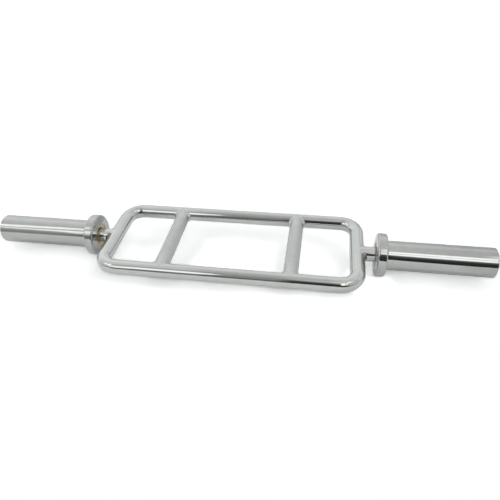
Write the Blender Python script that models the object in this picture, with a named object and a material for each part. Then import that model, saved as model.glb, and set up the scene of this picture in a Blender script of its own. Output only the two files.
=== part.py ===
"""Triceps bar with two rotating 50 mm plate sleeves, lying on a floor.

A round rod is bent into a rectangular frame, and two grips cross it. A spindle is welded to each end
of the frame. Each spindle carries a plate sleeve on two bronze bushings, and a bolt and washers in the
sleeve's open end hold it on. Metres, +X along the bar, +Z up. The origin is on the floor, under the
middle of the bar. The frame has swung down about the bar's axis until its front rail meets the floor.
"""

import math

import bmesh
import bpy
from mathutils import Matrix, Vector

# Frame, whose rails, grips and spindles are all of one round rod
ROD_DIAMETER = 0.025
FRAME_LENGTH = 0.455
FRAME_WIDTH = 0.184
BEND_RADIUS = 0.029
GRIP_SPACING = 0.2165

# Welds
WELD_LEG = 0.0035
WELD_CROWN = 0.0007
WELD_EASING = 0.003

# Collar and plate sleeve
NECK_LENGTH = 0.0175
COLLAR_DIAMETER = 0.0728
COLLAR_THICKNESS = 0.016
COLLAR_LIP = 0.005
COLLAR_ROUNDING = 0.003
LOADABLE_LENGTH = 0.171
SLEEVE_DIAMETER = 0.050
SLEEVE_WALL = 0.005
SLEEVE_ROUNDING = 0.0018
SLEEVE_MOUTH_BEVEL = 0.0008

# Spindle
JOURNAL_DIAMETER = 0.020
SPINDLE_BEVEL = 0.0008
TAPPED_HOLE_DEPTH = 0.034

# Bushings and thrust washer
INNER_BUSHING_LENGTH = 0.030
OUTER_BUSHING_LENGTH = 0.023
BUSHING_SETBACK = 0.0005
BUSHING_BEVEL = 0.0015
THRUST_WASHER_THICKNESS = 0.002
THRUST_WASHER_WIDTH = 0.007

# End fastening
END_RECESS = 0.014
END_WASHER_THICKNESS = 0.003
END_WASHER_CLEARANCE = 0.001
BOLT_DIAMETER = 0.010
BOLT_SHANK_LENGTH = 0.036
BOLT_HEAD_ACROSS_FLATS = 0.017
BOLT_HEAD_HEIGHT = 0.0064
BOLT_FACE_DIAMETER = 0.0163
BOLT_HEAD_CHAMFER = math.radians(30)
LOCK_WASHER_THICKNESS = 0.0025
LOCK_WASHER_WIDTH = 0.0036
LOCK_WASHER_SLIT = math.radians(12)

# The gap between neighbouring pieces, and the distance at which two points of a mesh are one
GAP = 0.0003
SAME_POINT = 1e-6

# Finishes
CHROME = (0.55, 0.56, 0.55)
KNURLED_CHROME = (0.50, 0.51, 0.50)
ZINC = (0.45, 0.45, 0.44)
BRONZE = (0.55, 0.36, 0.19)
POLISHED = 0.08
TURNED = 0.14
SATIN = 0.32

# How finely round faces are divided, and how often the tilt is refined
ROUND_SIDES = 48
INNER_SIDES = 36
ROD_SIDES = 32
BEND_STEPS = 8
BEAD_STEPS = 36
TOE_STEPS = 3
CROWN_STEPS = 5
FILLET_STEPS = 3
TILT_ROUNDS = 5
SMOOTH_ANGLE = math.radians(35)

ROD_RADIUS = ROD_DIAMETER / 2
ROD_REACH = ROD_RADIUS + GAP
JOURNAL_RADIUS = JOURNAL_DIAMETER / 2
COLLAR_RADIUS = COLLAR_DIAMETER / 2
SLEEVE_RADIUS = SLEEVE_DIAMETER / 2
SLEEVE_BORE_RADIUS = SLEEVE_RADIUS - SLEEVE_WALL
BUSHING_RADIUS = SLEEVE_BORE_RADIUS - GAP
BOLT_RADIUS = BOLT_DIAMETER / 2

# Centre lines of the frame's rails, from the middle of the frame
RAIL_X = FRAME_LENGTH / 2 - ROD_RADIUS
RAIL_Y = FRAME_WIDTH / 2 - ROD_RADIUS

# Stations along the bar, outward from its middle
COLLAR_X = FRAME_LENGTH / 2 + NECK_LENGTH
PLATE_STOP_X = COLLAR_X + COLLAR_THICKNESS
SLEEVE_START_X = COLLAR_X + COLLAR_LIP + GAP
SLEEVE_END_X = PLATE_STOP_X + LOADABLE_LENGTH
END_WASHER_X = SLEEVE_END_X - END_RECESS - END_WASHER_THICKNESS
SPINDLE_TIP_X = END_WASHER_X - GAP
OUTER_BUSHING_X = SPINDLE_TIP_X - OUTER_BUSHING_LENGTH
THRUST_WASHER_X = OUTER_BUSHING_X - GAP - THRUST_WASHER_THICKNESS
SHOULDER_X = THRUST_WASHER_X - GAP
INNER_BUSHING_X = COLLAR_X + BUSHING_SETBACK
LOCK_WASHER_X = SLEEVE_END_X - END_RECESS + GAP
BOLT_HEAD_X = LOCK_WASHER_X + LOCK_WASHER_THICKNESS + GAP

# The collars stand on the floor
AXIS_HEIGHT = COLLAR_RADIUS


def clear_scene():
    for obj in list(bpy.data.objects):
        bpy.data.objects.remove(obj)


def metal(name, colour, roughness):
    material = bpy.data.materials.new(name)
    material.use_nodes = True
    shader = material.node_tree.nodes["Principled BSDF"]
    shader.inputs["Base Color"].default_value = (*colour, 1)
    shader.inputs["Metallic"].default_value = 1
    shader.inputs["Roughness"].default_value = roughness
    return material


def empty(name, parent=None, location=(0, 0, 0), rotation=(0, 0, 0)):
    pivot = bpy.data.objects.new(name, None)
    bpy.context.collection.objects.link(pivot)
    pivot.parent = parent
    pivot.location = location
    pivot.rotation_euler = rotation
    return pivot


def place(name, mesh, parent, location=(0, 0, 0), rotation=(0, 0, 0)):
    """One named piece. Copies of a piece share its mesh."""
    obj = bpy.data.objects.new(name, mesh)
    bpy.context.collection.objects.link(obj)
    obj.parent = parent
    obj.location = location
    obj.rotation_euler = rotation


def finish_mesh(name, bm, material):
    """The closed mesh in bm, with its faces outward, its round faces smooth and its material."""
    bmesh.ops.recalc_face_normals(bm, faces=bm.faces)
    mesh = bpy.data.meshes.new(name)
    bm.to_mesh(mesh)
    bm.free()
    mesh.shade_smooth()
    mesh.set_sharp_from_angle(angle=SMOOTH_ANGLE)
    mesh.materials.append(material)
    return mesh


def filleted(corners):
    """An outline from (x, radius, fillet) corners. A corner with a fillet becomes an arc."""
    outline = []
    for i, (x, r, fillet) in enumerate(corners):
        corner = Vector((x, r))
        if fillet == 0:
            outline.append(corner)
            continue
        back = (Vector(corners[i - 1][:2]) - corner).normalized()
        ahead = (Vector(corners[(i + 1) % len(corners)][:2]) - corner).normalized()
        centre = corner + (back + ahead) * fillet
        for step in range(FILLET_STEPS + 1):
            turn = math.radians(90) * step / FILLET_STEPS
            outline.append(centre - ahead * fillet * math.cos(turn) - back * fillet * math.sin(turn))
    return outline


def spun(outline, sides, sweep=2 * math.pi, closed=False):
    """The surface that an outline of (x, radius) points sweeps about X. A closed outline meets itself."""
    bm = bmesh.new()
    points = [bm.verts.new((x, 0, r)) for x, r in outline]
    geometry = points + [bm.edges.new(pair) for pair in zip(points, points[1:])]
    if closed:
        geometry.append(bm.edges.new((points[-1], points[0])))
    if sweep < 2 * math.pi:
        geometry.append(bm.faces.new(points))
    bmesh.ops.spin(bm, geom=geometry, cent=(0, 0, 0), axis=(1, 0, 0), angle=sweep, steps=sides)
    bmesh.ops.remove_doubles(bm, verts=bm.verts, dist=SAME_POINT)
    return bm


def turned_ring(name, corners, sides, material, sweep=2 * math.pi):
    """A ring turned about X from the corners of its section. A sweep of less than a full turn splits it."""
    return finish_mesh(name, spun(filleted(corners), sides, sweep, closed=True), material)


def fit_to_rail(bm, ring, rail_x, way):
    """Saddles an open end of a rod along X on a rail along Y, and closes it.

    Each point of the ring meets the rail at its own height. The ring has one lowest and one highest
    point, and pairs of points at equal heights between them.
    """
    for vert in ring:
        vert.co.x = rail_x + way * math.sqrt(ROD_REACH**2 - vert.co.z**2)
    climb = sorted(ring, key=lambda vert: vert.co.z)
    pairs = [sorted(climb[i : i + 2], key=lambda vert: vert.co.y) for i in range(1, len(climb) - 1, 2)]
    levels = [climb[:1]] + pairs + [climb[-1:]]
    for low, high in zip(levels, levels[1:]):
        bm.faces.new(low + high[::-1])


def bent_frame():
    """The rod's round section, drawn along each rail and spun round each corner."""
    bm = bmesh.new()
    straight_x = RAIL_X - BEND_RADIUS
    straight_y = RAIL_Y - BEND_RADIUS
    start = Matrix.Translation((-straight_x, -RAIL_Y, 0)) @ Matrix.Rotation(math.radians(90), 4, "Y")
    section = bmesh.ops.create_circle(bm, segments=ROD_SIDES, radius=ROD_RADIUS, matrix=start)
    ends = list({edge for vert in section["verts"] for edge in vert.link_edges})
    corners = [(1, -1), (1, 1), (-1, 1), (-1, -1)]
    for quarter, (side_x, side_y) in enumerate(corners):
        run = 2 * straight_x if quarter % 2 == 0 else 2 * straight_y
        heading = Matrix.Rotation(math.radians(90) * quarter, 3, "Z") @ Vector((1, 0, 0))
        drawn = bmesh.ops.extrude_edge_only(bm, edges=ends)["geom"]
        ahead = [item for item in drawn if isinstance(item, bmesh.types.BMVert)]
        bmesh.ops.translate(bm, verts=ahead, vec=heading * run)
        spun_corner = bmesh.ops.spin(
            bm,
            geom=ahead + [item for item in drawn if isinstance(item, bmesh.types.BMEdge)],
            cent=(side_x * straight_x, side_y * straight_y, 0),
            axis=(0, 0, 1),
            angle=math.radians(90),
            steps=BEND_STEPS,
        )
        ends = [item for item in spun_corner["geom_last"] if isinstance(item, bmesh.types.BMEdge)]
    bmesh.ops.remove_doubles(bm, verts=bm.verts, dist=SAME_POINT)
    return finish_mesh("frame_loop", bm, metal("frame_chrome", CHROME, POLISHED))


def grip():
    """A grip along Y, saddled at both ends on the two long rails."""
    bm = spun([(-RAIL_Y, ROD_RADIUS), (RAIL_Y, ROD_RADIUS)], ROD_SIDES)
    for way in (-1, 1):
        ring = [vert for vert in bm.verts if vert.co.x * way > 0]
        fit_to_rail(bm, ring, way * RAIL_Y, -way)
    mesh = finish_mesh("grip", bm, metal("grip_knurl", KNURLED_CHROME, SATIN))
    mesh.transform(Matrix.Rotation(math.radians(90), 4, "Z"))
    return mesh


def spindle():
    """The spindle along X: saddled on the end rail, stepped for the outer bushing, drilled for its bolt."""
    bore = BOLT_RADIUS + GAP
    hole_end = SPINDLE_TIP_X - TAPPED_HOLE_DEPTH
    bm = spun(
        [
            (RAIL_X, ROD_RADIUS),
            (SHOULDER_X - SPINDLE_BEVEL, ROD_RADIUS),
            (SHOULDER_X, ROD_RADIUS - SPINDLE_BEVEL),
            (SHOULDER_X, JOURNAL_RADIUS),
            (SPINDLE_TIP_X - SPINDLE_BEVEL, JOURNAL_RADIUS),
            (SPINDLE_TIP_X, JOURNAL_RADIUS - SPINDLE_BEVEL),
            (SPINDLE_TIP_X, bore),
            (hole_end, bore),
            (hole_end - bore / 2, 0),
        ],
        INNER_SIDES,
    )
    ring = [vert for vert in bm.verts if vert.is_boundary]
    fit_to_rail(bm, ring, RAIL_X, 1)
    return finish_mesh("spindle", bm, metal("spindle_chrome", CHROME, POLISHED))


def weld_section(turn):
    """The section of a weld bead at one place round its branch, with turn measured from the +Y side.

    It starts at the toe on the branch, follows the rail from the seam to the toe there, and comes
    back over the crown.
    """
    across = math.cos(turn)
    height = math.sin(turn)
    start_x = math.hypot(ROD_REACH * across, WELD_EASING) + WELD_LEG
    branch_toe = Vector((start_x, ROD_REACH * across, ROD_REACH * height))
    section = [branch_toe]
    seam_angle = math.asin(height)
    for step in range(TOE_STEPS + 1):
        run = WELD_LEG * step / TOE_STEPS
        angle = seam_angle + run / ROD_REACH * height
        y = (ROD_REACH + run) * across
        section.append(Vector((ROD_REACH * math.cos(angle), y, ROD_REACH * math.sin(angle))))
    rail_toe = section[-1]
    outward = Vector((math.cos(seam_angle), across, 2 * height)).normalized()
    for step in range(1, CROWN_STEPS):
        share = step / CROWN_STEPS
        bulge = 2 * WELD_CROWN * math.sqrt(share * (1 - share))
        section.append(rail_toe.lerp(branch_toe, share) + outward * bulge)
    return section


def bead_sections():
    """The sections of a whole bead, in order round its branch."""
    return [weld_section(2 * math.pi * step / BEAD_STEPS) for step in range(BEAD_STEPS)]


def frame_tilt():
    """The tilt that brings the lowest weld crowns, under the front rail, down to the collars' floor.

    Which point of a bead is lowest depends on the tilt, so this closes in on it in a few rounds.
    """
    points = [point for section in bead_sections() for point in section]
    tilt = 0
    for _ in range(TILT_ROUNDS):
        down = Vector((-math.sin(tilt), 0, -math.cos(tilt)))
        reach = max(point.dot(down) for point in points)
        tilt = math.asin((AXIS_HEIGHT - reach) / RAIL_Y)
    return tilt


def saddle_weld():
    """The weld bead round a rod along X that saddles on a rail along Y, whose centre is the origin."""
    bm = bmesh.new()
    rings = [[bm.verts.new(point) for point in section] for section in bead_sections()]
    for ring, following in zip(rings, rings[1:] + rings[:1]):
        for i, vert in enumerate(ring):
            bm.faces.new((ring[i - 1], vert, following[i], following[i - 1]))
    return finish_mesh("weld", bm, metal("weld_chrome", CHROME, SATIN))


def collar():
    """The plate stop: an L section whose lip covers the end of the sleeve's tube."""
    seat = SLEEVE_RADIUS + GAP
    lip_end = COLLAR_X + COLLAR_LIP
    return turned_ring(
        "collar",
        [
            (COLLAR_X, SLEEVE_BORE_RADIUS, 0),
            (COLLAR_X, COLLAR_RADIUS, COLLAR_ROUNDING),
            (PLATE_STOP_X, COLLAR_RADIUS, COLLAR_ROUNDING),
            (PLATE_STOP_X, seat, 0),
            (lip_end, seat, 0),
            (lip_end, SLEEVE_BORE_RADIUS, 0),
        ],
        ROUND_SIDES,
        metal("collar_chrome", CHROME, TURNED),
    )


def sleeve():
    """The plate sleeve's tube."""
    return turned_ring(
        "sleeve",
        [
            (SLEEVE_START_X, SLEEVE_BORE_RADIUS, 0),
            (SLEEVE_START_X, SLEEVE_RADIUS, 0),
            (SLEEVE_END_X, SLEEVE_RADIUS, SLEEVE_ROUNDING),
            (SLEEVE_END_X, SLEEVE_BORE_RADIUS + SLEEVE_MOUTH_BEVEL, 0),
            (SLEEVE_END_X - SLEEVE_MOUTH_BEVEL, SLEEVE_BORE_RADIUS, 0),
        ],
        ROUND_SIDES,
        metal("sleeve_chrome", CHROME, TURNED),
    )


def bushing(name, start, length, bore_radius, bronze):
    """A bronze bushing pressed into the sleeve, its bore bevelled at both mouths."""
    end = start + length
    return turned_ring(
        name,
        [
            (start, bore_radius + BUSHING_BEVEL, 0),
            (start, BUSHING_RADIUS, 0),
            (end, BUSHING_RADIUS, 0),
            (end, bore_radius + BUSHING_BEVEL, 0),
            (end - BUSHING_BEVEL, bore_radius, 0),
            (start + BUSHING_BEVEL, bore_radius, 0),
        ],
        INNER_SIDES,
        bronze,
    )


def washer(name, start, thickness, bore_radius, width, zinc, sweep=2 * math.pi):
    """A flat washer, or a split one."""
    radius = bore_radius + width
    end = start + thickness
    section = [(start, bore_radius, 0), (start, radius, 0), (end, radius, 0), (end, bore_radius, 0)]
    return turned_ring(name, section, INNER_SIDES, zinc, sweep)


def end_bolt():
    """A hexagon-head bolt along X, its head turned round and then pushed in to its flats."""
    flat = BOLT_HEAD_ACROSS_FLATS / 2
    corner = flat / math.cos(math.radians(30))
    head_end = BOLT_HEAD_X + BOLT_HEAD_HEIGHT
    shank_end = BOLT_HEAD_X - BOLT_SHANK_LENGTH
    face = BOLT_FACE_DIAMETER / 2
    rim = head_end - (corner - face) * math.tan(BOLT_HEAD_CHAMFER)
    shank = [(shank_end, 0), (shank_end, BOLT_RADIUS), (BOLT_HEAD_X, BOLT_RADIUS)]
    head = [(BOLT_HEAD_X, corner), (rim, corner), (head_end, face), (head_end, 0)]
    bm = spun(shank + head, INNER_SIDES)
    for vert in bm.verts:
        reach = math.hypot(vert.co.y, vert.co.z)
        if reach > (face + corner) / 2:
            off_flat = math.atan2(vert.co.y, vert.co.z) % math.radians(60) - math.radians(30)
            radius = flat / math.cos(off_flat)
            vert.co.y *= radius / reach
            vert.co.z *= radius / reach
            if vert.co.x > BOLT_HEAD_X + BOLT_HEAD_HEIGHT / 2:
                vert.co.x = head_end - (radius - face) * math.tan(BOLT_HEAD_CHAMFER)
    return finish_mesh("end_bolt", bm, metal("bolt_zinc", ZINC, SATIN))


def build_frame():
    """The frame weldment and what is fixed to its spindles, which all turn as one about the bar's axis."""
    pivot = empty("frame_pivot", None, (0, 0, AXIS_HEIGHT), (frame_tilt(), 0, 0))
    place("frame_loop", bent_frame(), pivot)
    grip_mesh = grip()
    weld_mesh = saddle_weld()
    for side, sign in (("left", -1), ("right", 1)):
        x = sign * GRIP_SPACING / 2
        place(f"{side}_grip", grip_mesh, pivot, (x, 0, 0))
        for end, way in (("front", -1), ("back", 1)):
            inward = math.radians(-90 * way)
            place(f"{side}_grip_{end}_weld", weld_mesh, pivot, (x, way * RAIL_Y, 0), (0, 0, inward))

    spindle_mesh = spindle()
    zinc = metal("washer_zinc", ZINC, SATIN)
    thrust_bore = JOURNAL_RADIUS + GAP
    bolt_bore = BOLT_RADIUS + GAP
    end_width = SLEEVE_BORE_RADIUS - END_WASHER_CLEARANCE - bolt_bore
    lock_sweep = 2 * math.pi - LOCK_WASHER_SLIT
    rings = {
        "thrust_washer": (THRUST_WASHER_X, THRUST_WASHER_THICKNESS, thrust_bore, THRUST_WASHER_WIDTH, zinc),
        "end_washer": (END_WASHER_X, END_WASHER_THICKNESS, bolt_bore, end_width, zinc),
        "lock_washer": (LOCK_WASHER_X, LOCK_WASHER_THICKNESS, bolt_bore, LOCK_WASHER_WIDTH, zinc, lock_sweep),
    }
    washers = {name: washer(name, *sizes) for name, sizes in rings.items()}
    bolt = end_bolt()
    for side, outward in (("left", math.pi), ("right", 0)):
        arm = empty(f"{side}_arm", pivot, rotation=(0, 0, outward))
        place(f"{side}_spindle", spindle_mesh, arm)
        place(f"{side}_spindle_weld", weld_mesh, arm, (RAIL_X, 0, 0))
        for name, mesh in washers.items():
            place(f"{side}_{name}", mesh, arm)
        place(f"{side}_end_bolt", bolt, arm)


def build_sleeves():
    """The two plate sleeves, each with its collar and its two bushings, on an empty on the bar's axis."""
    collar_mesh = collar()
    sleeve_mesh = sleeve()
    bronze = metal("bushing_bronze", BRONZE, SATIN)
    inner = bushing("inner_bushing", INNER_BUSHING_X, INNER_BUSHING_LENGTH, ROD_REACH, bronze)
    outer = bushing("outer_bushing", OUTER_BUSHING_X, OUTER_BUSHING_LENGTH, JOURNAL_RADIUS + GAP, bronze)
    for side, outward in (("left", math.pi), ("right", 0)):
        axis = empty(f"{side}_sleeve_axis", None, (0, 0, AXIS_HEIGHT), (0, 0, outward))
        place(f"{side}_collar", collar_mesh, axis)
        place(f"{side}_sleeve", sleeve_mesh, axis)
        place(f"{side}_inner_bushing", inner, axis)
        place(f"{side}_outer_bushing", outer, axis)


def main():
    clear_scene()
    build_frame()
    build_sleeves()


main()
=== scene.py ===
"""The looks of the triceps bar: polished chrome rod and sleeves, knurled grips and bronze bushings, on a
pale floor in soft studio light. Metres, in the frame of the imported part."""

import math
from functools import partial

import bmesh
import bpy
from mathutils import Matrix, Vector, noise


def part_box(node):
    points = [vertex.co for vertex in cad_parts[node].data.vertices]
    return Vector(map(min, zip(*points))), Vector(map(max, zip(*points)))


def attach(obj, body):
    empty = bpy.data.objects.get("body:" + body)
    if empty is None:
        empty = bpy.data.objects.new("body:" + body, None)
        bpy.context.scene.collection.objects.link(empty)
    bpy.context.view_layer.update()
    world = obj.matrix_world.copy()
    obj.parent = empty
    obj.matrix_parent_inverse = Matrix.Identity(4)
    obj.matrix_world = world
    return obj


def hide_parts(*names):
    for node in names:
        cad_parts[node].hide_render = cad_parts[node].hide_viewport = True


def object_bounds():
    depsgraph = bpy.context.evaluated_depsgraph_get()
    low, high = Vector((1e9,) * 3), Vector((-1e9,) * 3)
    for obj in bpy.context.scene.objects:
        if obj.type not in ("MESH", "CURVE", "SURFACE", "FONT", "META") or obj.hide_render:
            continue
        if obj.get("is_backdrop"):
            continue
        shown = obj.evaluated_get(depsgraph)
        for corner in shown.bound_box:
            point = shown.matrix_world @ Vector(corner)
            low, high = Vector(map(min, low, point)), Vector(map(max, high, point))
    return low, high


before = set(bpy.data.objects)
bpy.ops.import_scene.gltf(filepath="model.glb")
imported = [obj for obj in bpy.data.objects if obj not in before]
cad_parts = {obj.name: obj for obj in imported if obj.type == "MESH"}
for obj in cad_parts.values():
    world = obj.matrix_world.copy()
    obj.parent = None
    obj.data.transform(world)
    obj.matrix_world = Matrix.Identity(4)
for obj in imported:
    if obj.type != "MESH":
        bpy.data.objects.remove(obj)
cad_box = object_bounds()

# Small sizes that no node's box gives, as in the part's source
GAP = 0.0003
BEND_RADIUS = 0.029
WELD_LEG = 0.0035
WELD_CROWN = 0.0007
WELD_EASING = 0.003
COLLAR_ROUNDING = 0.003
SLEEVE_ROUNDING = 0.0018
SLEEVE_MOUTH_BEVEL = 0.0008
SPINDLE_BEVEL = 0.0008
BUSHING_BEVEL = 0.0015
TAPPED_HOLE_DEPTH = 0.034
JOURNAL_RADIUS = 0.010
BOLT_RADIUS = 0.005
BOLT_FACE_RADIUS = 0.00815
LOCK_WASHER_SLIT = math.radians(12)

# Sizes of the visible meshes alone
SMOOTH_WELD_CROWN = WELD_CROWN / 10
WELD_GAP = GAP / 3
BOLT_TIP_RADIUS = 0.8 * BOLT_RADIUS
BOLT_TIP_LENGTH = 0.001
WASHER_EDGE = 0.0004
HALF_HEX = math.radians(30)

# How finely the visible meshes are divided
TURNED_SIDES = 144
ROD_SIDES = 96
BEND_STEPS = 32
FILLET_STEPS = 10
GUARD = 0.0004
BEND_GUARD = 8 * GUARD
BEAD_STEPS = 240
TOE_STEPS = 3
CROWN_STEPS = 14
SHARP = math.radians(32)

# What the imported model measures
AXIS_HEIGHT = sum(corner.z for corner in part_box("right_collar")) / 2
ROD_RADIUS = (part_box("right_grip")[1].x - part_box("right_grip")[0].x) / 2
GRIP_X = (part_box("right_grip")[1].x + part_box("right_grip")[0].x) / 2
LOOP_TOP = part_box("frame_loop")[1]
RAIL_X = LOOP_TOP.x - ROD_RADIUS
RAIL_REACH = Vector((LOOP_TOP.y - ROD_RADIUS, LOOP_TOP.z - AXIS_HEIGHT - ROD_RADIUS))
RAIL_Y = RAIL_REACH.length
TILT = math.atan2(RAIL_REACH.y, RAIL_REACH.x)

BAR = Matrix.Translation((0, 0, AXIS_HEIGHT))
WELDMENT = BAR @ Matrix.Rotation(TILT, 4, "X")
OUTWARD = {"left": Matrix.Rotation(math.pi, 4, "Z"), "right": Matrix.Identity(4)}


def span(node):
    """Where a node of the right side starts and ends along the bar, and its radius."""
    low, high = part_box(f"right_{node}")
    return low.x, high.x, (high.y - low.y) / 2


# Meshes


def skin(rings, looped=False):
    """Points and faces between rings of equal length. A looped skin also joins the last to the first."""
    size = len(rings[0])
    faces = []
    for ring in range(len(rings) if looped else len(rings) - 1):
        here, ahead = ring * size, (ring + 1) % len(rings) * size
        for i in range(size):
            j = (i + 1) % size
            faces.append((here + i, here + j, ahead + j, ahead + i))
    return [point for ring in rings for point in ring], faces


def filleted(corners):
    """An outline from (x, radius, fillet) corners, with each fillet as an arc between two guard points.

    The guard points keep the turn of the surface at a fillet out of the flat faces beside it.
    """
    outline = []
    for i, (x, r, fillet) in enumerate(corners):
        corner = Vector((x, r))
        if fillet == 0:
            outline.append(corner)
            continue
        back = (Vector(corners[i - 1][:2]) - corner).normalized()
        ahead = (Vector(corners[(i + 1) % len(corners)][:2]) - corner).normalized()
        centre = corner + (back + ahead) * fillet
        outline.append(corner + back * (fillet + GUARD))
        for step in range(FILLET_STEPS + 1):
            turn = math.radians(90) * step / FILLET_STEPS
            outline.append(centre - ahead * fillet * math.cos(turn) - back * fillet * math.sin(turn))
        outline.append(corner + ahead * (fillet + GUARD))
    return outline


def turned(outline, sides=TURNED_SIDES):
    """Rings about X, one for each (x, radius) of the outline."""
    rings = []
    for x, r in outline:
        turns = [2 * math.pi * i / sides for i in range(sides)]
        rings.append([Vector((x, r * math.sin(turn), r * math.cos(turn))) for turn in turns])
    return rings


def ladder(ring, start):
    """Faces that close a saddled ring, as steps between points of equal height on its two sides."""
    size = len(ring)
    return [
        (start + i, start + i + 1, start + size - i - 1, start + (size - i) % size)
        for i in range(size // 2)
        if i and i + 1 != size // 2
    ] + [
        (start, start + 1, start + size - 1),
        (start + size // 2 - 1, start + size // 2, start + size // 2 + 1),
    ]


def piece(name, points, faces, place, material, flat_faces=()):
    """One closed mesh as an object at the origin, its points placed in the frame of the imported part."""
    mesh = bpy.data.meshes.new(name)
    mesh.from_pydata([place @ point for point in points], [], faces)
    bm = bmesh.new()
    bm.from_mesh(mesh)
    bmesh.ops.recalc_face_normals(bm, faces=bm.faces)
    bm.to_mesh(mesh)
    bm.free()
    mesh.shade_smooth()
    mesh.set_sharp_from_angle(angle=SHARP)
    for index in flat_faces:
        mesh.polygons[index].use_smooth = False
    mesh.materials.append(material)
    obj = bpy.data.objects.new(name, mesh)
    bpy.context.scene.collection.objects.link(obj)
    return obj


def dress(node, body, slot, points, faces, place, material, flat_faces=()):
    """A piece that stands for a node and moves with its body."""
    obj = piece(f"{node}_visual", points, faces, place, material, flat_faces)
    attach(obj, body)
    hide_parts(node)


# Nodes of materials and of the world


def put(tree, value, socket):
    """Sets a socket to a number or colour, or links another socket to it."""
    if isinstance(value, bpy.types.NodeSocket):
        tree.links.new(value, socket)
    else:
        socket.default_value = value


def calc(tree, operation, first, second=0.0):
    node = tree.nodes.new("ShaderNodeMath")
    node.operation = operation
    put(tree, first, node.inputs[0])
    put(tree, second, node.inputs[1])
    return node.outputs[0]


def chain(tree, operation, first, *others):
    """One operation on several numbers or sockets, in turn."""
    for other in others:
        first = calc(tree, operation, first, other)
    return first


def ease(tree, value, start, end, low=0.0, high=1.0):
    """A smooth step from low to high as value goes from start to end."""
    node = tree.nodes.new("ShaderNodeMapRange")
    node.interpolation_type = "SMOOTHSTEP"
    keys = ("Value", "From Min", "From Max", "To Min", "To Max")
    for key, item in zip(keys, (value, start, end, low, high)):
        put(tree, item, node.inputs[key])
    return node.outputs["Result"]


def band(tree, value, low, high, soft):
    """1 between low and high, with soft edges."""
    rise = ease(tree, calc(tree, "SUBTRACT", value, low), -soft, soft)
    fall = ease(tree, calc(tree, "SUBTRACT", value, high), -soft, soft, 1, 0)
    return calc(tree, "MULTIPLY", rise, fall)


def blend_value(tree, share, low, high):
    node = tree.nodes.new("ShaderNodeMix")
    put(tree, share, node.inputs[0])
    put(tree, low, node.inputs[2])
    put(tree, high, node.inputs[3])
    return node.outputs[0]


def blend_colour(tree, share, low, high):
    node = tree.nodes.new("ShaderNodeMix")
    node.data_type = "RGBA"
    put(tree, share, node.inputs[0])
    put(tree, low, node.inputs[6])
    put(tree, high, node.inputs[7])
    return node.outputs[2]


def local_point(tree, place, scale=(1, 1, 1)):
    """The point of the surface before place was applied to it, with each axis scaled."""
    coordinates = tree.nodes.new("ShaderNodeTexCoord")
    mapping = tree.nodes.new("ShaderNodeMapping")
    inverse = place.inverted()
    mapping.inputs["Location"].default_value = inverse.to_translation()
    mapping.inputs["Rotation"].default_value = inverse.to_euler()
    tree.links.new(coordinates.outputs["Object"], mapping.inputs["Vector"])
    scaling = tree.nodes.new("ShaderNodeVectorMath")
    scaling.operation = "MULTIPLY"
    tree.links.new(mapping.outputs["Vector"], scaling.inputs[0])
    scaling.inputs[1].default_value = scale
    return scaling.outputs["Vector"]


def cloud(tree, vector, scale, detail=3.0, roughness=0.55):
    node = tree.nodes.new("ShaderNodeTexNoise")
    tree.links.new(vector, node.inputs["Vector"])
    node.inputs["Scale"].default_value = scale
    node.inputs["Detail"].default_value = detail
    node.inputs["Roughness"].default_value = roughness
    return node.outputs["Fac"]


def raise_bump(tree, height, distance, normal=None):
    node = tree.nodes.new("ShaderNodeBump")
    node.inputs["Strength"].default_value = 1
    node.inputs["Distance"].default_value = distance
    tree.links.new(height, node.inputs["Height"])
    if normal:
        tree.links.new(normal, node.inputs["Normal"])
    return node.outputs["Normal"]


# How the cloudiness of a metal is spread: its second, finer grain, the share of each grain in the gloss,
# and the stretches of the clouds over which the colour and the roughness change
FINE_GRAIN = 14
FINE_DETAIL = 2
COARSE_SHARE = 0.6
FINE_SHARE = 0.4
CLOUD_TONES = (0.3, 0.7)
CLOUD_GLOSS = (0.32, 0.68)


def metal(name, place, light, dark, smooth, rough, grain, wave, line_scale, line_height):
    """A metal with cloudy colour and gloss, a faint waviness, and fine lines that follow how it was worked.

    Its roughness lies between smooth and rough, grain is the fineness of the clouds, and wave and
    line_height are the heights of the waviness and of the lines, in metres.
    """
    material = bpy.data.materials.new(name)
    material.use_nodes = True
    tree = material.node_tree
    shader = tree.nodes["Principled BSDF"]
    shader.inputs["Metallic"].default_value = 1
    point = local_point(tree, place)
    clouds = cloud(tree, point, grain)
    fine = cloud(tree, point, grain * FINE_GRAIN, FINE_DETAIL)
    tone = ease(tree, clouds, *CLOUD_TONES)
    put(tree, blend_colour(tree, tone, (*dark, 1), (*light, 1)), shader.inputs["Base Color"])
    coarse_gloss = calc(tree, "MULTIPLY", clouds, COARSE_SHARE)
    gloss = calc(tree, "ADD", coarse_gloss, calc(tree, "MULTIPLY", fine, FINE_SHARE))
    put(tree, ease(tree, gloss, *CLOUD_GLOSS, smooth, rough), shader.inputs["Roughness"])
    lines = cloud(tree, local_point(tree, place, line_scale), 1, FINE_DETAIL)
    normal = raise_bump(tree, clouds, wave)
    put(tree, raise_bump(tree, lines, line_height, normal), shader.inputs["Normal"])
    return material


# Light: white where the camera looks, and for the metal a studio with two soft boxes in front, a dark
# gap between and under them where the camera stands, and a bright ceiling and back wall.
# Every direction lies to one side, in degrees from the middle to the right, and over the front horizon, in
# degrees of which 90 are straight up and 180 are the back horizon. Below, an edge is (start, end, value
# before, value after), with 0 and 1 where the values are left out, a stretch is (start, end, softness),
# and a region is a stretch of heights and one of sides

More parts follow.
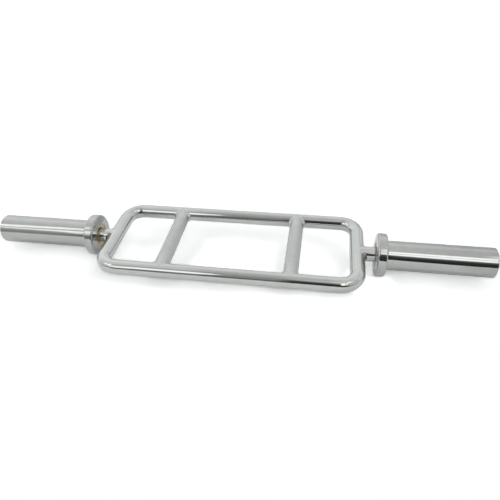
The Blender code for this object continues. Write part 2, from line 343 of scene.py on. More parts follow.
BOX_MIRRORED = 1.9
LOW_BOX_ON_FLOOR = 10.0
HIGH_BOX_ON_FLOOR = 3.5
ROOM_ON_FLOOR = 0.5
LAMP_SHARE = 0.65
ROOM_TINT = (1.0, 1.0, 0.985, 1)
FAR_TINT = (0.965, 1.0, 1.02, 1)
BOX_TINT = (0.985, 0.99, 1.01, 1)
GLOOM_TINT = (0.99, 1.0, 0.94, 1)
PLAIN_TINT = (1.0, 1.0, 1.0, 1)
DEGREE = 180 / math.pi
QUARTER = 90.0
CIRCLE = 360.0

scene = bpy.context.scene
scene.view_settings.view_transform = "Standard"

world = bpy.data.worlds.new("studio")
scene.world = world
world.use_nodes = True
sky = world.node_tree
sky.nodes.clear()

edge = partial(ease, sky)
stretch = partial(band, sky)
mix = partial(blend_value, sky)
times = partial(chain, sky, "MULTIPLY")
plus = partial(chain, sky, "ADD")
less = partial(chain, sky, "SUBTRACT")
most = partial(chain, sky, "MAXIMUM")

direction = sky.nodes.new("ShaderNodeTexCoord").outputs["Generated"]
parts = sky.nodes.new("ShaderNodeSeparateXYZ")
sky.links.new(direction, parts.inputs[0])
side = times(calc(sky, "ARCSINE", parts.outputs["X"]), DEGREE)
front = times(parts.outputs["Y"], -1.0)
turn = times(calc(sky, "ARCTAN2", parts.outputs["Z"], front), DEGREE)
over = less(calc(sky, "FLOORED_MODULO", plus(turn, QUARTER), CIRCLE), QUARTER)


def region(heights, sides):
    """1 in a region of the world, 0 outside it."""
    return times(stretch(over, *heights), stretch(side, *sides))


# The room's ceiling and back wall, darker to the right and low at the back
CEILING = (104, 128, 0.82, 0.94)
RIGHT_WALL = (11, 19, 1.0, 0.88)
FAR_RIGHT_WALL = (30, 50, 1.0, 0.93)
BACK_WALL_FOOT = (155, 163, 1.0, 0.76)
room = edge(over, *CEILING)
room = times(room, edge(side, *RIGHT_WALL), edge(side, *FAR_RIGHT_WALL), edge(over, *BACK_WALL_FOOT))

# Two glows on the ceiling, one behind the other
GLOW_HEIGHTS = (101, 127, 7)
GLOW_LEFT = (-24, -14, 0.22, 0.06)
GLOW_RIGHT = (4, 9, 0.0, 0.03)
LIFT_HEIGHTS = (84, 101, 8)
LIFT_LEFT = (-29, -12, 0.12, 0.0)
LIFT_RIGHT = (21, 25, 0.0, 0.15)
glow = plus(edge(side, *GLOW_LEFT), edge(side, *GLOW_RIGHT))
room = plus(room, times(stretch(over, *GLOW_HEIGHTS), glow))
lift = plus(edge(side, *LIFT_LEFT), edge(side, *LIFT_RIGHT))
room = plus(room, times(stretch(over, *LIFT_HEIGHTS), lift))

# A duller part of the back wall
DUSK = ((132, 171, 5), (5, 27, 3))
DUSK_DEPTH = 0.16
room = less(room, times(region(*DUSK), DUSK_DEPTH))

# The middle is shaded above the camera, with some light thrown back into its right part
SHADE_SIDES = (-14, 5, 3)
SHADE_LOW = (42, 54, 0.46, 0.66)
SHADE_HIGH = (62, 106, 0.0, 0.34)
BOUNCE_HEIGHTS = (44, 74, 5)
BOUNCE = (-5, -1, 0.0, 0.12)
LOW_BOUNCE_HEIGHTS = (36, 56, 6)
LOW_BOUNCE = (-3, 0, 0.0, 0.17)
shade = plus(edge(over, *SHADE_LOW), edge(over, *SHADE_HIGH))
shade = plus(shade, times(stretch(over, *BOUNCE_HEIGHTS), edge(side, *BOUNCE)))
shade = plus(shade, times(stretch(over, *LOW_BOUNCE_HEIGHTS), edge(side, *LOW_BOUNCE)))
room = times(room, mix(stretch(side, *SHADE_SIDES), 1.0, shade))

# Above the left soft box the room is a little darker, and at the right edge of the shade is a bright streak
DIP = ((40, 62, 6), (-31, -12, 2))
DIP_DEPTH = 0.28
STREAK = ((60, 72, 3), (2.5, 6.5, 1))
STREAK_LEVEL = 0.98
room = times(room, less(1.0, times(region(*DIP), DIP_DEPTH)))
room = mix(region(*STREAK), room, STREAK_LEVEL)

# The back horizon is darker on the left
HORIZON = ((180, 190, 3), (-60, -28, 4))
HORIZON_DEPTH = 0.45
room = less(room, times(region(*HORIZON), HORIZON_DEPTH))

# The gloom below the lights, which reaches higher on the right
GLOOM_MIDDLE = (-5, -2, 0.16, 0.04)
GLOOM_LEFT = (-16, -12, 0.08, 0.0)
GLOOM_FAR_LEFT = (-33, -27, 0.16, 0.0)
GLOOM_RIGHT = (22, 50, 0.0, 0.4)
UNDER_BOX = (6, 26, 0.0, 0.26)
UNDER_BOX_LEFT = (8, 11)
GLOOM_START = (2, 7, 6, 22)
GLOOM_END = (2, 7, 27, 30)
GLOOM_END_RIGHT = (20.5, 23, 0, 26)
gloom = plus(edge(side, *GLOOM_MIDDLE), edge(side, *GLOOM_LEFT), edge(side, *GLOOM_FAR_LEFT))
gloom = plus(gloom, edge(side, *GLOOM_RIGHT), times(edge(over, *UNDER_BOX), edge(side, *UNDER_BOX_LEFT)))
gloom_end = plus(edge(side, *GLOOM_END), edge(side, *GLOOM_END_RIGHT))
room_share = edge(over, edge(side, *GLOOM_START), gloom_end)
room = mix(room_share, gloom, room)

# The camera's own shade, in the middle of the gloom
CAMERA_SHADE_BOTTOM = (-44, -36)
CAMERA_SHADE_TOP = (24, 52, 1, 0)
CAMERA_SHADE_SIDES = (-3.5, 7.4, 1.2)
CAMERA_SHADE_LEVEL = 0.045
shade_height = times(edge(over, *CAMERA_SHADE_BOTTOM), edge(over, *CAMERA_SHADE_TOP))
camera_shade = times(stretch(side, *CAMERA_SHADE_SIDES), shade_height)
room = mix(camera_shade, room, CAMERA_SHADE_LEVEL)
dark_share = most(camera_shade, less(1.0, room_share))

# The left soft box, in two bands of which the upper one shows only far to the side. The bottom and the top
# of the lower one are heights that change with the side, and both hang lower at one narrow place. Its last
# side changes with the height
LEFT_BOTTOM = (-31, -29.5, 26, 14.5)
LEFT_BOTTOM_RISE = (-27, -24, 0, -4)
LEFT_TOP = (-38, -26, 31, 39.5)
LEFT_TOP_DIP = (-29, -25.5, 1)
SAG_SIDES = (-25.4, -23.2, 0.6)
BOTTOM_SAG = 3
TOP_SAG = 6
BAND_SOFT = 3
LEFT_LAST_SIDE = (18, 30, -14.9, -12.2)
LEFT_LAST_EDGE = (-0.8, 0.8, 1, 0)
LEFT_FAINT_SIDE = (-40, -37.5, 0.2, 1)
UPPER_MIDDLE = (-38, -29, 48, 56)
UPPER_MIDDLE_FAR = (-44, -38, 9, 0)
UPPER_REACH = (-8, 7, 3)
UPPER_LAST_SIDE = (-28.2, -27.4, 1, 0)
LEFT_BOX_END = (-60, -46)
sag = stretch(side, *SAG_SIDES)
low_bottom = less(edge(side, *LEFT_BOTTOM), edge(side, *LEFT_BOTTOM_RISE), times(sag, BOTTOM_SAG))
low_top = less(edge(side, *LEFT_TOP), stretch(side, *LEFT_TOP_DIP), times(sag, TOP_SAG))
past_last = less(side, edge(over, *LEFT_LAST_SIDE))
left_low = times(stretch(over, low_bottom, low_top, BAND_SOFT), edge(past_last, *LEFT_LAST_EDGE))
left_low = times(left_low, edge(side, *LEFT_FAINT_SIDE))
upper_middle = plus(edge(side, *UPPER_MIDDLE), edge(side, *UPPER_MIDDLE_FAR))
left_high = times(stretch(less(over, upper_middle), *UPPER_REACH), edge(side, *UPPER_LAST_SIDE))
left_box = times(most(left_low, left_high), edge(side, *LEFT_BOX_END))

# The right soft box, in two bands with half its light between them, of which the upper one starts further
# right, and past its right edge one that is higher and fainter. A narrow bright glint lies there too
RIGHT_BOTTOM = (8.5, 17, 27.2, 24.0)
RIGHT_LOW_TOP = 35.5
RIGHT_BAND_SOFT = 2
RIGHT_HIGH = (41, 52.5, 2)
RIGHT_BETWEEN = (30, 48, 3)
BETWEEN_SHARE = 0.5
RIGHT_FIRST_SIDE = (37, 42, 7.4, 8.4)
RIGHT_LAST_SIDE = 21.8
RIGHT_SIDE_SOFT = 1.2
PAST_BOX = ((51, 74, 3), (20.8, 40, 1.5))
PAST_LEVEL = (24, 38, 0.65, 0.25)
GLINT = ((25, 49, 4), (25.8, 28.4, 0.8))
right_low = stretch(over, edge(side, *RIGHT_BOTTOM), RIGHT_LOW_TOP, RIGHT_BAND_SOFT)
right_between = times(stretch(over, *RIGHT_BETWEEN), BETWEEN_SHARE)
right_bands = most(right_low, stretch(over, *RIGHT_HIGH), right_between)
right_sides = stretch(side, edge(over, *RIGHT_FIRST_SIDE), RIGHT_LAST_SIDE, RIGHT_SIDE_SOFT)
right_box = most(times(right_bands, right_sides), times(region(*PAST_BOX), edge(side, *PAST_LEVEL)))
glint = region(*GLINT)
boxes = most(left_box, right_box, glint)

# The floor is lit by the whole of both boxes, and less by the upper parts of them
LEFT_LAMP = ((19, 39, 3), (-37, -11.6, 2))
HIGH_LAMP = ((33, 53, 3), (-56, -37, 3))
RIGHT_LAMP_SIDES = (7, 50, 1.2)
LAMP_FALL = (32, 40)
right_lamp = times(right_bands, stretch(side, *RIGHT_LAMP_SIDES))
lamps = most(region(*LEFT_LAMP), region(*HIGH_LAMP), right_lamp)
lamp_level = edge(over, *LAMP_FALL, LOW_BOX_ON_FLOOR, HIGH_BOX_ON_FLOOR)
lamp_level = times(lamp_level, mix(boxes, LAMP_SHARE, 1.0))
lit = mix(lamps, times(room, ROOM_ON_FLOOR), lamp_level)

# The metal mirrors the boxes, the left one fainter than the right one, most of all low down in one narrow
# stretch of sides
LEFT_LEVEL = (-31, -29.5, 0.97, 0.86)
FAINT_SIDES = (-29.5, -25.5, 1)
FAINT_DEPTH = (16, 34, 0.42, -0.03)
BETWEEN_BOXES = (0, 5)
GLINT_EXTRA = 0.4
faint = times(stretch(side, *FAINT_SIDES), edge(over, *FAINT_DEPTH))
box_level = mix(edge(side, *BETWEEN_BOXES), less(edge(side, *LEFT_LEVEL), faint), 1.0)
box_level = plus(box_level, times(glint, GLINT_EXTRA))
mirrored = mix(boxes, room, times(box_level, BOX_MIRRORED))

# Tints: cooler at the back and far to the sides
FAR_HEIGHT = (110, 135)
FAR_SIDE = (28, 50)
rays = sky.nodes.new("ShaderNodeLightPath")
is_diffuse, is_camera = rays.outputs["Is Diffuse Ray"], rays.outputs["Is Camera Ray"]
level = mix(is_camera, mix(is_diffuse, mirrored, lit), 1.0)
far_share = most(edge(over, *FAR_HEIGHT), edge(calc(sky, "ABSOLUTE", side), *FAR_SIDE))
tint = blend_colour(sky, far_share, ROOM_TINT, FAR_TINT)
tint = blend_colour(sky, dark_share, tint, GLOOM_TINT)
tint = blend_colour(sky, boxes, tint, BOX_TINT)
tint = blend_colour(sky, most(is_diffuse, is_camera), tint, PLAIN_TINT)
background = sky.nodes.new("ShaderNodeBackground")
put(sky, tint, background.inputs["Color"])
put(sky, level, background.inputs["Strength"])
output = sky.nodes.new("ShaderNodeOutputWorld")
sky.links.new(background.outputs["Background"], output.inputs["Surface"])


# Floor: a white sheet whose wavy front edge lies before the bar, where the camera sees it white on white.
# Soft oval patches, each (x, y, reach_x, reach_y, change), paint light and shade on it, a little lighter or
# darker:
# painted shadow and painted light as the camera sees it, and painted shade in the floor as the metal
# mirrors it

SHEET_FRONT = -0.175
SHEET_BAYS = ((-0.41, 0.11, 0.20), (0.16, 0.13, 0.30))
SHEET_BACK = 3.0
SHEET_SIDE = 3.0
SHEET_COLUMNS = 40
SHEET_CROWDING = 3
SHEET_ROWS = 24
FLOOR_PLAIN = 0.80
FLOOR_SEEN = 1.65
FLOOR_MIRRORED = 1.27
MIRRORED_TINT = (0.975, 0.99, 0.995)
PATCH_POWER = 3.0
# Painted shadow and painted light on the floor as the camera sees it: darker patches are painted shadow in
# front of the front rail, beside the grips and along the back rail; lighter ones are painted light inside
# the frame, in front of the bar, and round the collars and sleeve ends
SEEN_PAINTED_SHADING = (
    (-0.09, -0.080, 0.19, 0.042, -0.32),
    (0.13, -0.075, 0.09, 0.028, -0.28),
    (0.15, -0.15, 0.14, 0.05, 0.5),
    (0.0, 0.0, 0.23, 0.085, 0.22),
    (-0.1, 0.0, 0.04, 0.13, -0.28),
    (0.095, 0.0, 0.03, 0.13, -0.25),
    (0.236, -0.030, 0.046, 0.062, 1.0),
    (-0.22, 0.01, 0.05, 0.05, 0.25),
    (-0.30, -0.015, 0.06, 0.04, 0.12),
    (0.30, -0.02, 0.07, 0.05, 0.10),
    (0.17, 0.06, 0.05, 0.05, 0.10),
    (-0.03, 0.13, 0.16, 0.035, -0.12),
)
# Painted shade in the floor as the metal mirrors it, each patch darker: under and beyond the sleeves, by
# the collars and the front bend, and under the middle of the frame
MIRRORED_PAINTED_SHADING = (
    (-0.345, 0.0, 0.115, 0.035, -0.32),
    (0.345, 0.0, 0.115, 0.035, -0.32),
    (0.52, -0.10, 0.14, 0.18, -0.22),
    (0.22, -0.08, 0.05, 0.06, -0.15),
    (-0.226, -0.01, 0.035, 0.06, -0.22),
    (0.0, 0.06, 0.3, 0.05, -0.14),
)


def sheet_front(x):
    """Where the sheet's front edge lies at x. It bulges forward by each of the bays (x, reach, depth)."""
    bulges = [depth * math.exp(-(((x - middle) / reach) ** 2)) for middle, reach, depth in SHEET_BAYS]
    return SHEET_FRONT - sum(bulges)


sheet = bmesh.new()
columns = []
for k in range(-SHEET_COLUMNS, SHEET_COLUMNS + 1):
    x = SHEET_SIDE * (k / SHEET_COLUMNS) ** SHEET_CROWDING
    start = sheet_front(x)
    depths = [start + (SHEET_BACK - start) * i / SHEET_ROWS for i in range(SHEET_ROWS + 1)]
    columns.append([sheet.verts.new((x, y, 0)) for y in depths])
for column, following in zip(columns, columns[1:]):
    for i in range(SHEET_ROWS):
        sheet.faces.new((column[i], following[i], following[i + 1], column[i + 1]))
floor_mesh = bpy.data.meshes.new("floor_sheet")
sheet.to_mesh(floor_mesh)
sheet.free()
floor = bpy.data.objects.new("floor_sheet", floor_mesh)
scene.collection.objects.link(floor)
floor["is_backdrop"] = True

paper = bpy.data.materials.new("floor_paper")
paper.use_nodes = True
tree = paper.node_tree
tree.nodes.clear()
floor_point = tree.nodes.new("ShaderNodeSeparateXYZ")
tree.links.new(tree.nodes.new("ShaderNodeTexCoord").outputs["Object"], floor_point.inputs[0])


def with_painted_shading(level, patches):
    """The level with the change of each patch, which fades out where the patch ends."""
    for x, y, reach_x, reach_y, change in patches:
        away = []
        for axis, middle, reach in (("X", x, reach_x), ("Y", y, reach_y)):
            off = calc(tree, "DIVIDE", calc(tree, "SUBTRACT", floor_point.outputs[axis], middle), reach)
            away.append(calc(tree, "POWER", calc(tree, "ABSOLUTE", off), PATCH_POWER))
        level = calc(tree, "ADD", level, ease(tree, calc(tree, "ADD", *away), 0.0, 1.0, change, 0.0))
    return level


# The camera sees the floor with its painted shadow and painted light, and the metal mirrors it with painted
# shade
seen = with_painted_shading(FLOOR_SEEN, SEEN_PAINTED_SHADING)
mirrored = with_painted_shading(FLOOR_MIRRORED, MIRRORED_PAINTED_SHADING)
rays = tree.nodes.new("ShaderNodeLightPath")
tint = tree.nodes.new("ShaderNodeCombineColor")
for channel, share in zip(tint.inputs[:3], MIRRORED_TINT):
    tinted = calc(tree, "MULTIPLY", mirrored, share)
    level = blend_value(tree, rays.outputs["Is Glossy Ray"], FLOOR_PLAIN, tinted)
    level = blend_value(tree, rays.outputs["Is Camera Ray"], level, seen)
    tree.links.new(level, channel)
diffuse = tree.nodes.new("ShaderNodeBsdfDiffuse")
tree.links.new(tint.outputs[0], diffuse.inputs["Color"])
output = tree.nodes.new("ShaderNodeOutputMaterial")
tree.links.new(diffuse.outputs[0], output.inputs["Surface"])
floor_mesh.materials.append(paper)


# Camera, fitted to the outlines of the photograph

CAMERA_PLACE = Vector((0.143153, -0.703676, AXIS_HEIGHT + 0.306690))
CAMERA_YAW = math.radians(8.983)
CAMERA_PITCH = math.radians(-23.884)
CAMERA_ROLL = math.radians(0.548)
FOCAL_PIXELS = 443.57
PICTURE_PIXELS = 500
SENSOR_WIDTH = 36
NEAR = 0.01

camera_data = bpy.data.cameras.new("camera")
camera_data.sensor_fit = "HORIZONTAL"
camera_data.sensor_width = SENSOR_WIDTH
camera_data.lens = SENSOR_WIDTH * FOCAL_PIXELS / PICTURE_PIXELS
camera_data.clip_start = NEAR
camera = bpy.data.objects.new("camera", camera_data)
scene.collection.objects.link(camera)
aim = Matrix.Rotation(CAMERA_YAW, 4, "Z") @ Matrix.Rotation(math.radians(90) + CAMERA_PITCH, 4, "X")
camera.matrix_world = Matrix.Translation(CAMERA_PLACE) @ aim @ Matrix.Rotation(CAMERA_ROLL, 4, "Z")
scene.camera = camera


# Materials

CHROME_LIGHT = (0.61, 0.615, 0.60)
CHROME_DARK = (0.575, 0.585, 0.575)
SLEEVE_LIGHT = (0.52, 0.525, 0.51)
SLEEVE_DARK = (0.485, 0.495, 0.485)
WELD_LIGHT = (0.60, 0.60, 0.59)
WELD_DARK = (0.54, 0.545, 0.535)
KNURL_LIGHT = (0.60, 0.605, 0.59)
KNURL_DARK = (0.555, 0.56, 0.545)
BRONZE_LIGHT = (0.64, 0.52, 0.36)
BRONZE_DARK = (0.45, 0.36, 0.23)
ZINC_LIGHT = (0.50, 0.50, 0.49)
ZINC_DARK = (0.40, 0.40, 0.385)

rod_chrome = metal(
    "rod_chrome",
    WELDMENT,
    CHROME_LIGHT,
    CHROME_DARK,
    smooth=0.035,
    rough=0.075,
    grain=45,
    wave=2e-5,
    line_scale=(60, 700, 700),
    line_height=1.5e-6,
)
sleeve_chrome = metal(
    "sleeve_chrome",
    BAR,
    SLEEVE_LIGHT,
    SLEEVE_DARK,
    smooth=0.05,
    rough=0.09,
    grain=45,
    wave=2e-5,
    line_scale=(2600, 18, 18),
    line_height=2e-6,
)
collar_chrome = metal(
    "collar_chrome",
    BAR,
    SLEEVE_LIGHT,
    SLEEVE_DARK,
    smooth=0.07,
    rough=0.13,
    grain=60,
    wave=1e-5,
    line_scale=(2600, 60, 60),
    line_height=3e-6,
)
spindle_chrome = metal(
    "spindle_chrome",
    WELDMENT,
    CHROME_LIGHT,
    CHROME_DARK,
    smooth=0.05,
    rough=0.09,
    grain=50,
    wave=1e-5,
    line_scale=(2400, 30, 30),
    line_height=2e-6,
)
weld_chrome = metal(
    "weld_chrome",
    WELDMENT,
    WELD_LIGHT,
    WELD_DARK,
    smooth=0.07,
    rough=0.15,
    grain=180,
    wave=4e-5,
    line_scale=(900, 900, 900),
    line_height=4e-6,
)
knurl_chrome = metal(
    "knurl_chrome",
    WELDMENT,
    KNURL_LIGHT,
    KNURL_DARK,
    smooth=0.30,
    rough=0.38,
    grain=120,
    wave=1e-5,
    line_scale=(1500, 1500, 1500),
    line_height=5e-6,
)
bronze = metal(
    "bronze",
    BAR,
    BRONZE_LIGHT,
    BRONZE_DARK,
    smooth=0.22,
    rough=0.42,
    grain=220,
    wave=2e-5,
    line_scale=(1800, 90, 90),
    line_height=5e-6,
)
zinc = metal(
    "zinc_steel",
    WELDMENT,
    ZINC_LIGHT,
    ZINC_DARK,
    smooth=0.22,
    rough=0.40,
    grain=150,
    wave=2e-5,
    line_scale=(900, 900, 900),
    line_height=6e-6,
)

# Painted shade darkens the bronze at the upper front of the bevel round the bore, where the gap to the
# spindle lies in shade, and the right bushing is duller and greyer than the left one. The turn is in
# degrees, 0 to the front and 90 up
BEVEL_SHADE_COLOUR = (0.05, 0.035, 0.01, 1)
BEVEL_SHADE_REACH = ROD_RADIUS + GAP + BUSHING_BEVEL
BEVEL_SHADE_EDGE = 0.0002
BEVEL_SHADE_TURN = (45, 118, 12)
DULL_BRONZE = (0.37, 0.36, 0.33, 1)
DULL_SIDE = (-0.01, 0.01)
DULL_SHARE = 0.78

tree = bronze.node_tree
colour = tree.nodes["Principled BSDF"].inputs["Base Color"]
spot = tree.nodes.new("ShaderNodeSeparateXYZ")
tree.links.new(local_point(tree, BAR), spot.inputs[0])
squares = [calc(tree, "MULTIPLY", spot.outputs[axis], spot.outputs[axis]) for axis in ("Y", "Z")]
off_axis = calc(tree, "SQRT", calc(tree, "ADD", *squares))
bevel_front = calc(tree, "MULTIPLY", spot.outputs["Y"], -1.0)
bevel_turn = calc(tree, "MULTIPLY", calc(tree, "ARCTAN2", spot.outputs["Z"], bevel_front), DEGREE)
on_bevel = ease(tree, off_axis, BEVEL_SHADE_REACH - BEVEL_SHADE_EDGE, BEVEL_SHADE_REACH + BEVEL_SHADE_EDGE, 1, 0)
# Painted shade: the dark colour on the upper front of the bevel, where the gap to the spindle is in shade
bevel_shade_share = calc(tree, "MULTIPLY", on_bevel, band(tree, bevel_turn, *BEVEL_SHADE_TURN))
bevel_shaded = blend_colour(tree, bevel_shade_share, colour.links[0].from_socket, BEVEL_SHADE_COLOUR)
dull_share = ease(tree, spot.outputs["X"], *DULL_SIDE, 0.0, DULL_SHARE)
put(tree, blend_colour(tree, dull_share, bevel_shaded, DULL_BRONZE), colour)


# Frame loop


def loop_rings():
    """The rod's rings along its centre line, with guard rings beside each bend."""
    stations = []
    reach_x, reach_y = RAIL_X - BEND_RADIUS, RAIL_Y - BEND_RADIUS
    for quarter, (side_x, side_y) in enumerate([(1, -1), (1, 1), (-1, 1), (-1, -1)]):
        centre = Vector((side_x * reach_x, side_y * reach_y, 0))
        start = math.radians(90) * (quarter - 1)
        ahead = Vector((-math.sin(start), math.cos(start), 0))
        outward = Vector((math.cos(start), math.sin(start), 0))
        stations.append((centre + outward * BEND_RADIUS - ahead * BEND_GUARD, outward))
        for step in range(BEND_STEPS + 1):
            angle = start + math.radians(90) * step / BEND_STEPS
            outward = Vector((math.cos(angle), math.sin(angle), 0))
            stations.append((centre + outward * BEND_RADIUS, outward))
        ahead = Vector((-math.sin(angle), math.cos(angle), 0))
        stations.append((centre + outward * BEND_RADIUS + ahead * BEND_GUARD, outward))
    rings = []
    for place, outward in stations:
        turns = [2 * math.pi * i / ROD_SIDES for i in range(ROD_SIDES)]
        rings.append(
            [place + ROD_RADIUS * (outward * math.cos(t) + Vector((0, 0, math.sin(t)))) for t in turns]
        )
    return rings


dress("frame_loop", "frame", "chrome", *skin(loop_rings(), looped=True), WELDMENT, rod_chrome)


# Grips

KNURL_STARTS = 64
KNURL_PITCH = 0.0021
KNURL_DEPTH = 0.00020
KNURL_END = 0.014
PEAK_DROP = 0.00002
PLAIN_DROP = 0.00012
PLAIN_GUARD = 0.0015
KNURL_RUN_OUT = 0.0004


def grip_mesh():
    """A grip along Y: plain ends saddled on the rails, and between them a diamond knurl cut into the rod.

    Peaks and valleys alternate round and along the knurl, and each quad folds along its valley.
    """
    sides = 2 * KNURL_STARTS
    plain = ROD_RADIUS - PLAIN_DROP
    reach = ROD_RADIUS - GAP
    half = RAIL_Y - ROD_RADIUS - KNURL_END
    rows = 2 * round(2 * half / KNURL_PITCH)
    turns = [2 * math.pi * i / sides for i in range(sides)]

    def ring(y, radius):
        return [Vector((radius * math.sin(t), y, radius * math.cos(t))) for t in turns]

    def saddle(way):
        points = ring(0, plain)
        for point in points:
            point.y = way * (RAIL_Y - math.sqrt(max(reach**2 - point.z**2, 0)))
        return points

    rings = [saddle(-1), ring(-half - PLAIN_GUARD, plain), ring(-half - KNURL_RUN_OUT, plain)]
    first = len(rings)
    for j in range(rows + 1):
        y = -half + 2 * half * j / rows
        radii = [ROD_RADIUS - (KNURL_DEPTH if (i + j) % 2 == 0 else PEAK_DROP) for i in range(sides)]
        rings.append([Vector((r * math.sin(t), y, r * math.cos(t))) for t, r in zip(turns, radii)])
    last = len(rings) - 1
    rings += [ring(half + KNURL_RUN_OUT, plain), ring(half + PLAIN_GUARD, plain), saddle(1)]
    points, quads = skin(rings)
    faces = []
    flat = []
    for index, (a, b, c, d) in enumerate(quads):
        row, i = divmod(index, sides)
        if first <= row < last:
            flat += [len(faces), len(faces) + 1]
            valley_first = (i + row - first) % 2 == 0
            faces += [(a, b, c), (a, c, d)] if valley_first else [(a, b, d), (b, c, d)]
        else:
            faces.append((a, b, c, d))
    faces += ladder(rings[0], 0)
    faces += ladder(rings[-1], (len(rings) - 1) * sides)
    return points, faces, flat


grip_points, grip_faces, knurl_faces = grip_mesh()
for name, sign in (("left", -1), ("right", 1)):
    place = WELDMENT @ Matrix.Translation((sign * GRIP_X, 0, 0))
    dress(f"{name}_grip", "frame", "grip_chrome", grip_points, grip_faces, place, knurl_chrome, knurl_faces)


# Weld beads

RIPPLES = 30
RIPPLE_SHARE = 0.75
WANDER_SCALE = 3
LEG_WANDER = 0.10
RIPPLE_WANDER = 1.5
CROWN_LEAN = 2


def weld_rings(seed, crown):
    """The sections of a bead round a rod along X that saddles on a rail along Y, centred on the origin.

    Each starts at the toe on the branch, follows the rail under the bead, and comes back over its crown,
    which rises and falls a little with each ripple of the weld. A smooth bead's crown is nearly flat.
    """
    reach = ROD_RADIUS - WELD_GAP
    rings = []
    for step in range(BEAD_STEPS):
        turn = 2 * math.pi * step / BEAD_STEPS
        across, height = math.cos(turn), math.sin(turn)
        wander = noise.noise(Vector((across * WANDER_SCALE, height * WANDER_SCALE, seed)))
        leg = WELD_LEG * (1 + LEG_WANDER * wander)
        toe = Vector((math.hypot(reach * across, WELD_EASING) + leg, reach * across, reach * height))
        section = [toe]
        seam_angle = math.asin(height)
        for part in range(TOE_STEPS + 1):
            run = leg * part / TOE_STEPS
            angle = seam_angle + run / reach * height
            point = Vector((reach * math.cos(angle), 0, reach * math.sin(angle)))
            point.y = (reach + run) * across
            section.append(point)
        rail_toe = section[-1]
        outward = Vector((math.cos(seam_angle), across, CROWN_LEAN * height)).normalized()
        ripple = 1 - RIPPLE_SHARE * abs(math.sin(RIPPLES * turn / 2 + RIPPLE_WANDER * wander))
        for part in range(1, CROWN_STEPS):
            share = part / CROWN_STEPS
            bulge = 2 * crown * ripple * math.sqrt(share * (1 - share))
            section.append(rail_toe.lerp(toe, share) + outward * bulge)
        rings.append(section)
    return rings


seed = 0
for name, sign in (("left", -1), ("right", 1)):
    for end, way in (("front", -1), ("back", 1)):
        seed += 1
        place = WELDMENT @ Matrix.Translation((sign * GRIP_X, way * RAIL_Y, 0))
        place = place @ Matrix.Rotation(math.radians(-90 * way), 4, "Z")
        mesh = skin(weld_rings(seed, WELD_CROWN), looped=True)
        dress(f"{name}_grip_{end}_weld", "frame", "chrome", *mesh, place, weld_chrome)
    seed += 1
    place = WELDMENT @ OUTWARD[name] @ Matrix.Translation((RAIL_X, 0, 0))
    mesh = skin(weld_rings(seed, SMOOTH_WELD_CROWN), looped=True)
    dress(f"{name}_spindle_weld", "frame", "chrome", *mesh, place, weld_chrome)


# Spindles

# The drill's point at the bottom of the bolt hole, as shares of the hole's radius
DRILL_TIP_LENGTH = 1 / 2
DRILL_TIP_RADIUS = 1 / 8


def spindle_mesh():
    """The spindle along X: saddled on the end rail, stepped for the outer bushing, drilled for its bolt."""
    tip = span("spindle")[1]
    shoulder = span("thrust_washer")[0] - GAP
    bore = BOLT_RADIUS + GAP
    hole_end = tip - TAPPED_HOLE_DEPTH
    outline = [
        (shoulder - SPINDLE_BEVEL - GUARD, ROD_RADIUS),
        (shoulder - SPINDLE_BEVEL, ROD_RADIUS),
        (shoulder, ROD_RADIUS - SPINDLE_BEVEL),
        (shoulder, JOURNAL_RADIUS),
        (tip - SPINDLE_BEVEL, JOURNAL_RADIUS),
        (tip, JOURNAL_RADIUS - SPINDLE_BEVEL),
        (tip, bore),
        (hole_end, bore),
        (hole_end - bore * DRILL_TIP_LENGTH, bore * DRILL_TIP_RADIUS),
    ]
    rings = turned([(0, ROD_RADIUS), (RAIL_X + ROD_RADIUS + GUARD, ROD_RADIUS)] + outline)
    reach = ROD_RADIUS - GAP
    for point in rings[0]:
        point.x = RAIL_X + math.sqrt(max(reach**2 - point.z**2, 0))
    points, faces = skin(rings)
    faces += ladder(rings[0], 0)
    faces.append(tuple(range(len(points) - TURNED_SIDES, len(points))))
    return points, faces


# Collars, sleeves and bushings


def ring_mesh(corners):
    return skin(turned(filleted(corners)), looped=True)


COLLAR_START, COLLAR_END, COLLAR_RADIUS = span("collar")
SLEEVE_START, SLEEVE_END, SLEEVE_RADIUS = span("sleeve")
INNER_START, INNER_END, BUSHING_RADIUS = span("inner_bushing")
BORE_RADIUS = BUSHING_RADIUS + GAP
SPINDLE_BORE = ROD_RADIUS + GAP

collar_mesh = ring_mesh(
    [
        (COLLAR_START, BORE_RADIUS, 0),
        (COLLAR_START, COLLAR_RADIUS, COLLAR_ROUNDING),
        (COLLAR_END, COLLAR_RADIUS, COLLAR_ROUNDING),
        (COLLAR_END, SLEEVE_RADIUS + GAP, 0),
        (SLEEVE_START - GAP, SLEEVE_RADIUS + GAP, 0),
        (SLEEVE_START - GAP, BORE_RADIUS, 0),
    ]
)
sleeve_mesh = ring_mesh(
    [
        (SLEEVE_START, BORE_RADIUS, 0),
        (SLEEVE_START, SLEEVE_RADIUS, 0),
        (SLEEVE_END, SLEEVE_RADIUS, SLEEVE_ROUNDING),
        (SLEEVE_END, BORE_RADIUS + SLEEVE_MOUTH_BEVEL, 0),
        (SLEEVE_END - SLEEVE_MOUTH_BEVEL, BORE_RADIUS, 0),
    ]
)
bushing_mesh = ring_mesh(
    [
        (INNER_START, SPINDLE_BORE + BUSHING_BEVEL, 0),
        (INNER_START, BUSHING_RADIUS, 0),
        (INNER_END, BUSHING_RADIUS, 0),
        (INNER_END, SPINDLE_BORE + BUSHING_BEVEL, 0),
        (INNER_END - BUSHING_BEVEL, SPINDLE_BORE, 0),
        (INNER_START + BUSHING_BEVEL, SPINDLE_BORE, 0),
    ]
)

# End fastening


def washer_corners(node, bore, rounding):
    start, end, radius = span(node)
    return [(start, bore, 0), (start, radius, rounding), (end, radius, rounding), (end, bore, 0)]


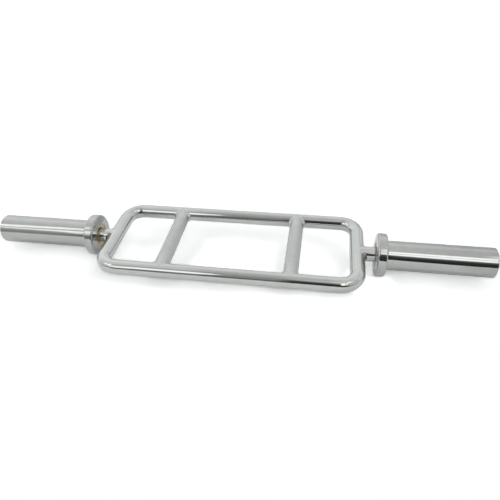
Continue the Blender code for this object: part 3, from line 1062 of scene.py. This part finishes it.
end_washer_mesh = ring_mesh(washer_corners("end_washer", BOLT_RADIUS + GAP, WASHER_EDGE))


def lock_washer_mesh():
    """A ring of square section, split at one place."""
    section = washer_corners("lock_washer", BOLT_RADIUS + GAP, 0)
    rings = []
    for step in range(TURNED_SIDES + 1):
        turn = (2 * math.pi - LOCK_WASHER_SLIT) * step / TURNED_SIDES
        rings.append([Vector((x, -r * math.sin(turn), r * math.cos(turn))) for x, r, _ in section])
    points, faces = skin(rings)
    size = len(section)
    faces += [tuple(range(size)), tuple(range(len(points) - size, len(points)))]
    return points, faces


def bolt_mesh():
    """A hexagon-head bolt along X: a round shank, then rings pushed in to the flats of the head."""
    low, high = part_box("right_end_bolt")
    head_start = span("lock_washer")[1] + GAP
    flat = min(high.y - low.y, high.z - low.z) / 2
    corner = flat / math.cos(HALF_HEX)
    slope = math.tan(HALF_HEX)
    shank = [(low.x, BOLT_TIP_RADIUS), (low.x + BOLT_TIP_LENGTH, BOLT_RADIUS), (head_start, BOLT_RADIUS)]
    rings = turned(shank)
    rim = high.x - (corner - BOLT_FACE_RADIUS) * slope
    for x, r in ((head_start, corner), (rim, corner), (high.x, BOLT_FACE_RADIUS)):
        ring = turned([(x, r)])[0]
        for point in ring:
            off_flat = math.atan2(point.y, point.z) % (2 * HALF_HEX) - HALF_HEX
            radius = min(r, flat / math.cos(off_flat))
            point.y *= radius / r
            point.z *= radius / r
            if r == corner and x == rim:
                point.x = high.x - (radius - BOLT_FACE_RADIUS) * slope
        rings.append(ring)
    points, faces = skin(rings)
    faces += [tuple(range(TURNED_SIDES)), tuple(range(len(points) - TURNED_SIDES, len(points)))]
    return points, faces


spindle = spindle_mesh()
lock_washer = lock_washer_mesh()
bolt = bolt_mesh()
for name, outward in OUTWARD.items():
    fixed = WELDMENT @ outward
    free = BAR @ outward
    sleeve_body = f"{name}_plate_sleeve"
    dress(f"{name}_spindle", "frame", "spindle_chrome", *spindle, fixed, spindle_chrome)
    dress(f"{name}_end_washer", "frame", "zinc_steel", *end_washer_mesh, fixed, zinc)
    dress(f"{name}_lock_washer", "frame", "zinc_steel", *lock_washer, fixed, zinc)
    dress(f"{name}_end_bolt", "frame", "zinc_steel", *bolt, fixed, zinc)
    dress(f"{name}_collar", sleeve_body, "chrome", *collar_mesh, free, collar_chrome)
    dress(f"{name}_sleeve", sleeve_body, "chrome", *sleeve_mesh, free, sleeve_chrome)
    dress(f"{name}_inner_bushing", sleeve_body, "bronze", *bushing_mesh, free, bronze)
    for node, material in (("outer_bushing", bronze), ("thrust_washer", zinc)):
        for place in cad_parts[f"{name}_{node}"].material_slots:
            place.material = material

boxes = {"cad": cad_box, "visual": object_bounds()}
